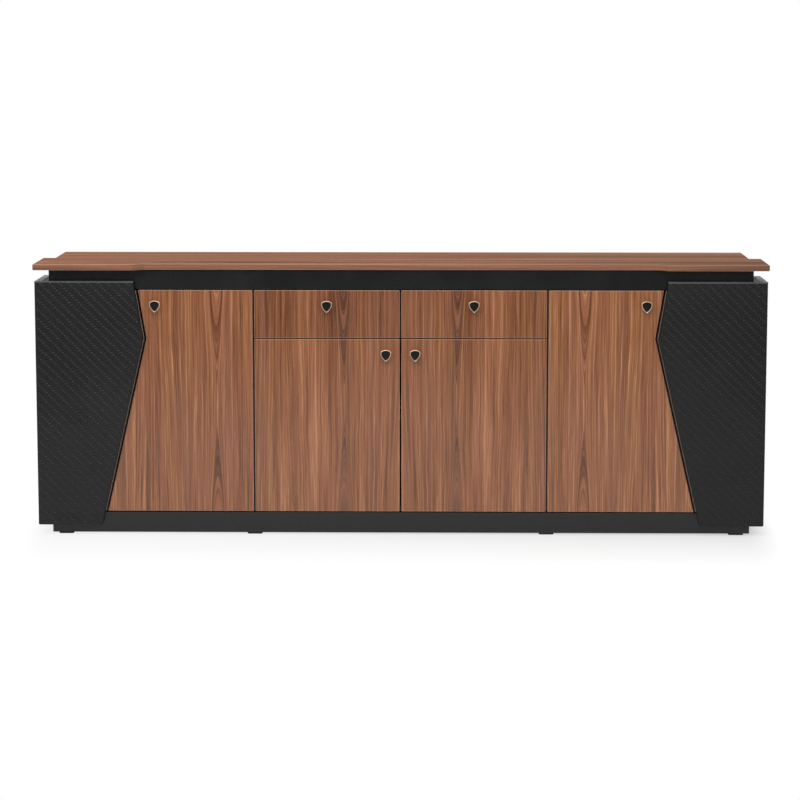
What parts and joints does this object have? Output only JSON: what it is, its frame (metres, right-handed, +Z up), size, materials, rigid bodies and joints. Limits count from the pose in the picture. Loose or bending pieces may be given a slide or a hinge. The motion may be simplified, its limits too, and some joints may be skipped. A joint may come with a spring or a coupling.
{
  "type": "office credenza",
  "caption": "Long low office cabinet with a walnut top, doors and drawers, black kinked leather wings at its ends and shield-shaped knobs.",
  "frame": {"origin": "on the floor, under the middle of the cabinet", "axes": "+X along the cabinet to its right end as seen from the front, +Y to the back, +Z up"},
  "size_m": [2.2, 0.45, 0.824],
  "materials": {
    "walnut": "satin walnut veneer",
    "black_board": "matt black melamine-faced board",
    "leather": "black embossed leather over board",
    "knob_metal": "satin champagne plating",
    "steel": "zinc-plated steel",
    "foot_plastic": "black plastic"
  },
  "bodies": {
    "cabinet": {"top_slab": "walnut", "left_fixed_panel": "walnut", "right_fixed_panel": "walnut", "carcass_top": "black_board", "carcass_bottom": "black_board", "back_panel": "black_board", "frieze_rail": "black_board", "plinth_front": "black_board", "plinth_back": "black_board", "drawer_deck": "black_board", "drawer_divider": "black_board", "middle_shelf": "black_board", "left_side": "black_board", "left_partition": "black_board", "left_shelf": "black_board", "right_side": "black_board", "right_partition": "black_board", "right_shelf": "black_board", "left_wing": "leather", "right_wing": "leather", "left_end_front_foot": "foot_plastic", "left_end_back_foot": "foot_plastic", "left_inner_front_foot": "foot_plastic", "left_inner_back_foot": "foot_plastic", "right_end_front_foot": "foot_plastic", "right_end_back_foot": "foot_plastic", "right_inner_front_foot": "foot_plastic", "right_inner_back_foot": "foot_plastic", "inner_runner_pair": "steel", "left_outer_runner": "steel", "left_tall_upper_arm": "steel", "left_lower_upper_arm": "steel", "left_lower_arm_pair": "steel", "right_outer_runner": "steel", "right_tall_upper_arm": "steel", "right_lower_upper_arm": "steel", "right_lower_arm_pair": "steel"},
    "left_tall_door_body": {"left_tall_door": "walnut", "left_tall_upper_cup": "steel", "left_tall_lower_cup": "steel", "left_tall_knob": "knob_metal"},
    "left_lower_door_body": {"left_lower_door": "walnut", "left_lower_upper_cup": "steel", "left_lower_lower_cup": "steel", "left_lower_knob": "knob_metal"},
    "left_drawer_body": {"left_drawer_front": "walnut", "left_drawer_box": "black_board", "left_drawer_knob": "knob_metal"},
    "right_tall_door_body": {"right_tall_door": "walnut", "right_tall_upper_cup": "steel", "right_tall_lower_cup": "steel", "right_tall_knob": "knob_metal"},
    "right_lower_door_body": {"right_lower_door": "walnut", "right_lower_upper_cup": "steel", "right_lower_lower_cup": "steel", "right_lower_knob": "knob_metal"},
    "right_drawer_body": {"right_drawer_front": "walnut", "right_drawer_box": "black_board", "right_drawer_knob": "knob_metal"}
  },
  "joints": [
    {"name": "left_tall_door_hinge", "type": "hinge", "parent": "cabinet", "child": "left_tall_door_body", "pos_m": [-0.445, -0.187, 0.3], "axis": [0, 0, 1], "range_deg": [0, 90]},
    {"name": "right_tall_door_hinge", "type": "hinge", "parent": "cabinet", "child": "right_tall_door_body", "pos_m": [0.445, -0.187, 0.3], "axis": [0, 0, -1], "range_deg": [0, 90]},
    {"name": "left_lower_door_hinge", "type": "hinge", "parent": "cabinet", "child": "left_lower_door_body", "pos_m": [-0.44, -0.187, 0.3], "axis": [0, 0, -1], "range_deg": [0, 90]},
    {"name": "right_lower_door_hinge", "type": "hinge", "parent": "cabinet", "child": "right_lower_door_body", "pos_m": [0.44, -0.187, 0.3], "axis": [0, 0, 1], "range_deg": [0, 90]},
    {"name": "left_drawer_slide", "type": "slide", "parent": "cabinet", "child": "left_drawer_body", "axis": [0, -1, 0], "range_m": [0, 0.25]},
    {"name": "right_drawer_slide", "type": "slide", "parent": "cabinet", "child": "right_drawer_body", "axis": [0, -1, 0], "range_m": [0, 0.25]}
  ]
}
